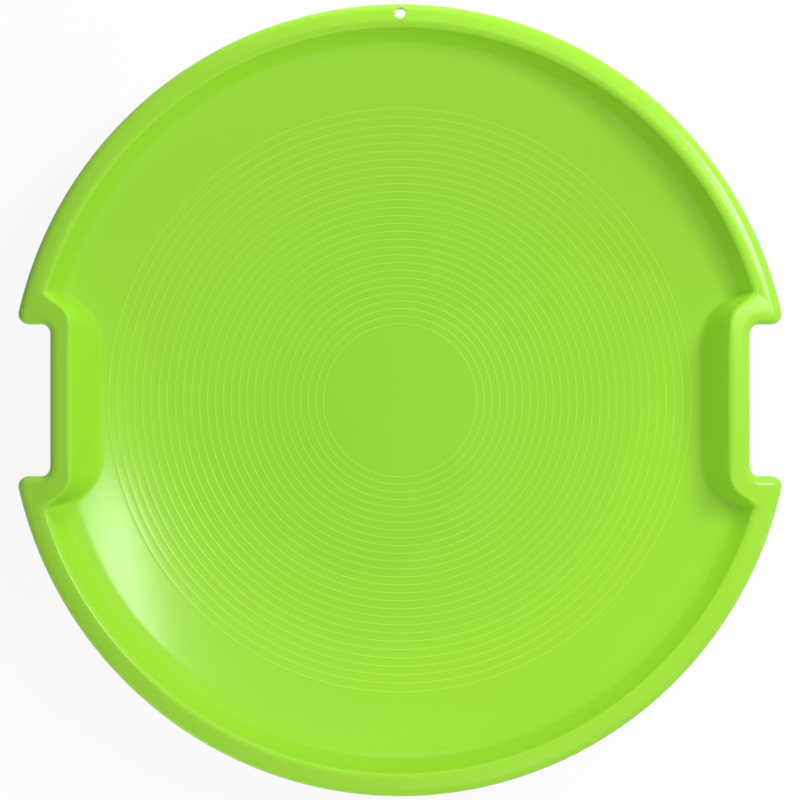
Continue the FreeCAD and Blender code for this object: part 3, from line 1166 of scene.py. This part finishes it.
@dataclass(frozen=True)
class Studio:
    """Pale floor, soft lamps, even surrounding light and the camera above the sled."""

    floor_half: float = 12.0
    floor_drop: float = 0.0004
    floor_shade: float = 0.86
    shadow_share: float = 0.10
    surround: float = 0.13
    camera_height: float = 1.1565
    camera_aside: float = 0.0
    camera_ahead: float = 0.0002
    lens: float = 58.05
    sensor: float = 36.0
    near_clip: float = 0.05
    lamps: tuple[SoftLamp, ...] = (
        SoftLamp("key_lamp", 38.0, 43.0, 1.17, 0.2, 0.2, 4.9),
        SoftLamp("near_lamp", 76.0, 60.0, 0.75, 0.25, 0.25, 0.55),
        SoftLamp("sheen_lamp", 30.7, 56.5, 1.39, 0.42, 0.18, 5.4, mirrored=True, roll=-40.0),
        SoftLamp("top_lamp", 90.0, 15.0, 1.0, 0.35, 0.35, 4.6),
        SoftLamp("side_lamp", 335.0, 15.0, 1.0, 0.35, 0.35, 1.5),
        SoftLamp("left_lamp", 232.0, 8.0, 1.0, 0.35, 0.35, 3.2),
        SoftLamp("fill_lamp", 285.0, 50.0, 0.8, 0.25, 0.25, 1.6),
    )

    def floor(self) -> bpy.types.Object:
        """Makes the pale floor, a square of two by two quads just under the sled.

        Returns:
            The floor's object.
        """
        side = np.linspace(-self.floor_half, self.floor_half, 3)
        x, y = np.meshgrid(side, side)
        points = np.stack([x.ravel(), y.ravel(), np.full(x.size, -self.floor_drop)], axis=1)
        number = np.arange(x.size).reshape(x.shape)
        corners = [number[:-1, :-1], number[:-1, 1:], number[1:, 1:], number[1:, :-1]]
        mesh = bpy.data.meshes.new("pale_floor")
        mesh.from_pydata(points, [], np.stack(corners, axis=2).reshape(-1, 4).tolist())
        floor = bpy.data.objects.new("pale_floor", mesh)
        bpy.context.scene.collection.objects.link(floor)
        mesh.materials.append(self.floor_paper())
        return floor

    def floor_paper(self) -> bpy.types.Material:
        """White paper that the camera sees nearly even, with part of the sled's shadow left.

        Returns:
            The floor's material.
        """
        paper = bpy.data.materials.new("white_paper")
        paper.use_nodes = True
        nodes, links = paper.node_tree.nodes, paper.node_tree.links
        nodes.clear()
        matt = nodes.new("ShaderNodeBsdfDiffuse")
        matt.inputs["Color"].default_value = (self.floor_shade,) * 3 + (1.0,)
        glow = nodes.new("ShaderNodeEmission")
        glow.inputs["Strength"].default_value = 1.0
        blend = nodes.new("ShaderNodeMixShader")
        share = nodes.new("ShaderNodeMath")
        share.operation = "MULTIPLY"
        share.inputs[1].default_value = 1.0 - self.shadow_share
        links.new(self.seen_ray(paper.node_tree), share.inputs[0])
        links.new(share.outputs["Value"], blend.inputs["Fac"])
        links.new(matt.outputs["BSDF"], blend.inputs[1])
        links.new(glow.outputs["Emission"], blend.inputs[2])
        links.new(blend.outputs["Shader"], nodes.new("ShaderNodeOutputMaterial").inputs["Surface"])
        return paper

    @staticmethod
    def seen_ray(tree: bpy.types.NodeTree) -> bpy.types.NodeSocket:
        """Adds up the ray kinds that show a backdrop: camera, glossy and transmission.

        Args:
            tree: Node tree of the material or world.

        Returns:
            One for such a ray, else zero.
        """
        path = tree.nodes.new("ShaderNodeLightPath")
        first = tree.nodes.new("ShaderNodeMath")
        second = tree.nodes.new("ShaderNodeMath")
        second.use_clamp = True
        tree.links.new(path.outputs["Is Camera Ray"], first.inputs[0])
        tree.links.new(path.outputs["Is Glossy Ray"], first.inputs[1])
        tree.links.new(first.outputs["Value"], second.inputs[0])
        tree.links.new(path.outputs["Is Transmission Ray"], second.inputs[1])
        return second.outputs["Value"]

    def surrounding(self) -> None:
        """Sets an even surrounding light that shows as white behind the sled."""
        world = bpy.data.worlds.new("soft_room")
        world.use_nodes = True
        tree = world.node_tree
        light = tree.nodes["Background"]
        light.inputs["Color"].default_value = (1.0, 1.0, 1.0, 1.0)
        level = tree.nodes.new("ShaderNodeMapRange")
        level.inputs["To Min"].default_value = self.surround
        level.inputs["To Max"].default_value = 1.0
        tree.links.new(self.seen_ray(tree), level.inputs["Value"])
        tree.links.new(level.outputs["Result"], light.inputs["Strength"])
        bpy.context.scene.world = world

    def camera(self) -> bpy.types.Object:
        """Makes the camera, straight above the sled with the tow hole at the top of the picture.

        Returns:
            The camera's object.
        """
        data = bpy.data.cameras.new("overhead_camera")
        data.lens = self.lens
        data.sensor_width = self.sensor
        data.clip_start = self.near_clip
        camera = bpy.data.objects.new("overhead_camera", data)
        camera.location = (self.camera_aside, self.camera_ahead, self.camera_height)
        bpy.context.scene.collection.objects.link(camera)
        bpy.context.scene.camera = camera
        return camera

    def build(self) -> None:
        """Makes the whole studio."""
        self.floor()
        self.surrounding()
        for lamp in self.lamps:
            lamp.build()
        self.camera()
        bpy.context.scene.view_settings.view_transform = "Standard"


def main() -> None:
    """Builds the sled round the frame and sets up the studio."""
    logging.basicConfig(level=logging.INFO, format="%(name)s: %(message)s")
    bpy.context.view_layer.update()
    low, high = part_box("saucer_shell")
    mount = next(item for item in frame["record"]["mounts"] if item["name"] == "tow_hole")
    form = DishForm(rim_radius=min(high.y, -low.y), overall_height=high.z)
    sled = SledShell(
        form=form,
        outline=RimOutline(form),
        rings=FloorRings(),
        edge=RimEdge(form),
        hole=TowHole(tuple(mount["pos_m"][:2]), mount["dims"]["r_mm"] / 1000.0),
        finish=LimePlastic(),
    )
    shell = sled.build()
    LOG.info("%s: %d vertices, %d faces", shell.name, len(shell.data.vertices), len(shell.data.polygons))
    studio = Studio()
    studio.build()
    LOG.info("studio: floor, %d lamps, camera", len(studio.lamps))
    bpy.context.view_layer.update()


if __name__ == "__main__":
    main()
